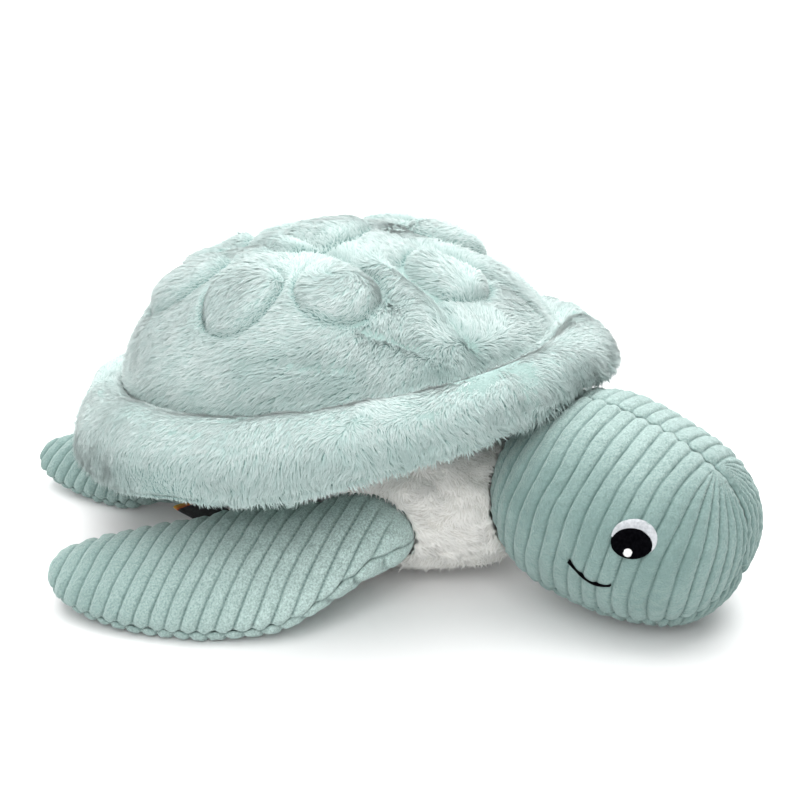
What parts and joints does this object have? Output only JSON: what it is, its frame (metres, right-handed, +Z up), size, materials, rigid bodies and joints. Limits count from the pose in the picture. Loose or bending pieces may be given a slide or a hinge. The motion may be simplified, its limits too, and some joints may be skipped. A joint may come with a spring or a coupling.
{
  "type": "plush turtle",
  "caption": "Plush sea turtle lying on its belly: quilted plush shell with a thick rim, corduroy head and flippers, white plush belly, embroidered eyes and smile.",
  "frame": {"origin": "middle of the turtle's outline in plan, on the ground that the belly rests on", "axes": "+Z up; the head points to -Y and the rear flippers to +Y; the turtle's right side is -X"},
  "size_m": [0.3678, 0.4618, 0.1921],
  "materials": {
    "mint_plush": "long soft pile, brushed",
    "mint_corduroy": "wide-wale corduroy with a velvet nap",
    "white_plush": "short soft pile",
    "stuffing": "loose polyester fibre",
    "black_thread": "satin stitch, slightly glossy",
    "grey_thread": "satin stitch, slightly glossy",
    "white_thread": "satin stitch, slightly glossy",
    "black_tape": "woven tape, matt",
    "orange_tape": "woven tape, matt"
  },
  "bodies": {
    "body_and_shell": {"body_cover": "white_plush", "body_filling": "stuffing", "label": "black_tape", "label_edge_tape": "orange_tape", "shell_dome_cover": "mint_plush", "shell_dome_filling": "stuffing", "shell_rim_upper_panel": "mint_plush", "shell_rim_lower_panel": "mint_plush", "shell_rim_filling": "stuffing", "shell_underside": "mint_plush"},
    "head": {"head_left_panel": "mint_corduroy", "head_right_panel": "mint_corduroy", "head_chin_panel": "mint_corduroy", "head_filling": "stuffing", "eye_white_right": "grey_thread", "pupil_right": "black_thread", "eye_glint_right": "white_thread", "mouth_right": "black_thread", "eye_white_left": "grey_thread", "pupil_left": "black_thread", "eye_glint_left": "white_thread", "mouth_left": "black_thread"},
    "front_flipper_right": {"front_flipper_right_upper_panel": "mint_corduroy", "front_flipper_right_lower_panel": "mint_corduroy", "front_flipper_right_filling": "stuffing"},
    "front_flipper_left": {"front_flipper_left_upper_panel": "mint_corduroy", "front_flipper_left_lower_panel": "mint_corduroy", "front_flipper_left_filling": "stuffing"},
    "rear_flipper_right": {"rear_flipper_right_upper_panel": "mint_corduroy", "rear_flipper_right_lower_panel": "mint_corduroy", "rear_flipper_right_filling": "stuffing"},
    "rear_flipper_left": {"rear_flipper_left_upper_panel": "mint_corduroy", "rear_flipper_left_lower_panel": "mint_corduroy", "rear_flipper_left_filling": "stuffing"}
  },
  "joints": [
    {"name": "head_nod", "type": "hinge", "parent": "body_and_shell", "child": "head", "pos_m": [0, -0.13865, 0.0648], "axis": [-1, 0, 0], "range_deg": [-8, 16], "stiffness_Nm_per_rad": 0.15},
    {"name": "front_flipper_right_swing", "type": "hinge", "parent": "body_and_shell", "child": "front_flipper_right", "pos_m": [-0.072, -0.02715, 0.041], "axis": [0, 0, 1], "range_deg": [-5, 34], "stiffness_Nm_per_rad": 0.08},
    {"name": "front_flipper_left_swing", "type": "hinge", "parent": "body_and_shell", "child": "front_flipper_left", "pos_m": [0.072, -0.02715, 0.041], "axis": [0, 0, -1], "range_deg": [-5, 34], "stiffness_Nm_per_rad": 0.08},
    {"name": "rear_flipper_right_swing", "type": "hinge", "parent": "body_and_shell", "child": "rear_flipper_right", "pos_m": [-0.031, 0.12885, 0.0197], "axis": [0, 0, 1], "range_deg": [-4, 16], "stiffness_Nm_per_rad": 0.04},
    {"name": "rear_flipper_left_swing", "type": "hinge", "parent": "body_and_shell", "child": "rear_flipper_left", "pos_m": [0.031, 0.12885, 0.0197], "axis": [0, 0, -1], "range_deg": [-4, 16], "stiffness_Nm_per_rad": 0.04}
  ]
}
